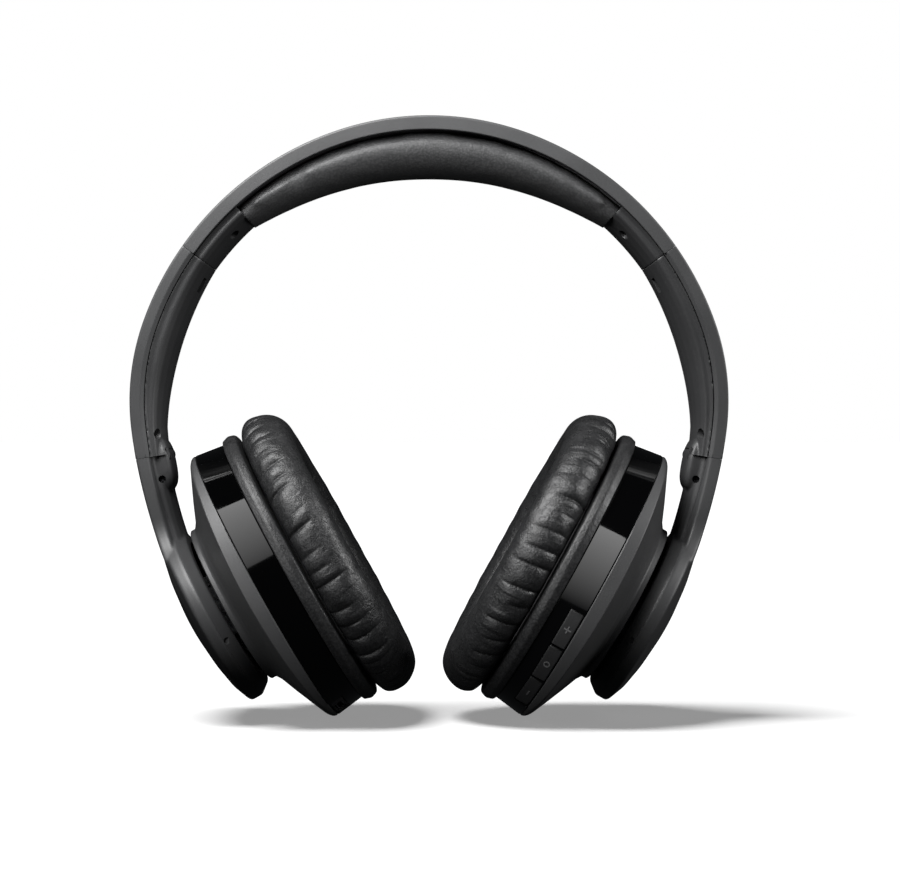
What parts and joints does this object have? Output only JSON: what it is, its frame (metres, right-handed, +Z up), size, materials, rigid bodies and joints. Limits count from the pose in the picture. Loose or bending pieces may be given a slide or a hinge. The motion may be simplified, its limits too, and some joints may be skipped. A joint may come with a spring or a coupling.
{
  "type": "over-ear headphones",
  "caption": "Wireless over-ear headphones: padded headband, sliding arms, folding yokes, and oval cups with pleated cushions and side keys.",
  "frame": {"origin": "middle of the head pad's underside, where the crown of a head bears on it", "axes": "+Z up, +X towards the cup with the control keys, +Y towards the rear side of the band"},
  "size_m": [0.1768, 0.0796, 0.1784],
  "materials": {
    "casing": "fine matte moulded texture",
    "gloss_wall": "polished piano black",
    "leather": "soft black synthetic leather, fine grain",
    "cloth": "thin black acoustic cloth",
    "steel": "plain steel",
    "screw_steel": "blackened steel",
    "wire": "soft black sleeve",
    "board": "green solder mask",
    "cell": "foil pouch",
    "keys": "soft matte black"
  },
  "bodies": {
    "headband": {"headband_outer_shell": "casing", "headband_inner_frame": "casing", "headband_pad": "leather", "crossover_cable": "wire", "left_end_cap": "casing", "left_cap_screw_front": "screw_steel", "left_cap_screw_rear": "screw_steel", "right_end_cap": "casing", "right_cap_screw_front": "screw_steel", "right_cap_screw_rear": "screw_steel"},
    "left_arm": {"left_slider_strip": "steel", "left_arm_shell": "casing", "left_arm_cover": "casing", "left_arm_screw_front": "screw_steel", "left_arm_screw_rear": "screw_steel", "left_fold_pin": "steel"},
    "left_yoke": {"left_yoke_shell": "casing", "left_yoke_cover": "casing", "left_yoke_screw_front": "screw_steel", "left_yoke_screw_rear": "screw_steel", "left_tilt_pin": "steel"},
    "left_pivot": {"left_pivot_block": "steel"},
    "left_cup": {"left_back_shell": "casing", "left_side_ring": "gloss_wall", "left_baffle": "casing", "left_driver_frame": "casing", "left_driver_magnet": "steel", "left_pad_ring": "leather", "left_acoustic_cloth": "cloth", "left_ear_cushion": "leather", "left_swivel_pin": "steel", "port_panel": "casing", "charging_socket": "steel", "battery": "cell"},
    "right_arm": {"right_slider_strip": "steel", "right_arm_shell": "casing", "right_arm_cover": "casing", "right_arm_screw_front": "screw_steel", "right_arm_screw_rear": "screw_steel", "right_fold_pin": "steel"},
    "right_yoke": {"right_yoke_shell": "casing", "right_yoke_cover": "casing", "right_yoke_screw_front": "screw_steel", "right_yoke_screw_rear": "screw_steel", "right_tilt_pin": "steel"},
    "right_pivot": {"right_pivot_block": "steel"},
    "right_cup": {"right_back_shell": "casing", "right_side_ring": "gloss_wall", "right_baffle": "casing", "right_driver_frame": "casing", "right_driver_magnet": "steel", "right_pad_ring": "leather", "right_acoustic_cloth": "cloth", "right_ear_cushion": "leather", "right_swivel_pin": "steel", "main_board": "board"},
    "volume_up_key": {"volume_up_button": "keys"},
    "play_key": {"play_button": "keys"},
    "volume_down_key": {"volume_down_button": "keys"}
  },
  "joints": [
    {"name": "left_extension", "type": "hinge", "parent": "headband", "child": "left_arm", "pos_m": [0.00252, 0, -0.07498], "axis": [0, 1, 0], "range_deg": [-5.5, 0]},
    {"name": "left_fold", "type": "hinge", "parent": "left_arm", "child": "left_yoke", "pos_m": [-0.07929, 0, -0.08325], "axis": [0, 1, 0], "range_deg": [-50, 0]},
    {"name": "left_tilt", "type": "hinge", "parent": "left_yoke", "child": "left_pivot", "pos_m": [-0.06366, 0, -0.13062], "axis": [0, 1, 0], "range_deg": [-2.2, 2.2]},
    {"name": "left_swivel", "type": "hinge", "parent": "left_pivot", "child": "left_cup", "pos_m": [-0.06148, 0, -0.12941], "axis": [-0.4848, 0, 0.8746], "range_deg": [-2.2, 2.2]},
    {"name": "right_extension", "type": "hinge", "parent": "headband", "child": "right_arm", "pos_m": [-0.00252, 0, -0.07498], "axis": [0, 1, 0], "range_deg": [0, 5.5]},
    {"name": "right_fold", "type": "hinge", "parent": "right_arm", "child": "right_yoke", "pos_m": [0.07929, 0, -0.08325], "axis": [0, 1, 0], "range_deg": [0, 50]},
    {"name": "right_tilt", "type": "hinge", "parent": "right_yoke", "child": "right_pivot", "pos_m": [0.06366, 0, -0.13062], "axis": [0, 1, 0], "range_deg": [-2.2, 2.2]},
    {"name": "right_swivel", "type": "hinge", "parent": "right_pivot", "child": "right_cup", "pos_m": [0.06148, 0, -0.12941], "axis": [0.4848, 0, 0.8746], "range_deg": [-2.2, 2.2]},
    {"name": "volume_up_press", "type": "slide", "parent": "right_cup", "child": "volume_up_key", "axis": [0.1362, 0.9598, 0.2456], "range_m": [0, 0.0005], "stiffness_N_per_m": 2000},
    {"name": "play_press", "type": "slide", "parent": "right_cup", "child": "play_key", "axis": [0.2598, 0.8443, 0.4687], "range_m": [0, 0.0005], "stiffness_N_per_m": 2000},
    {"name": "volume_down_press", "type": "slide", "parent": "right_cup", "child": "volume_down_key", "axis": [0.3821, 0.6154, 0.6894], "range_m": [0, 0.0005], "stiffness_N_per_m": 2000}
  ]
}
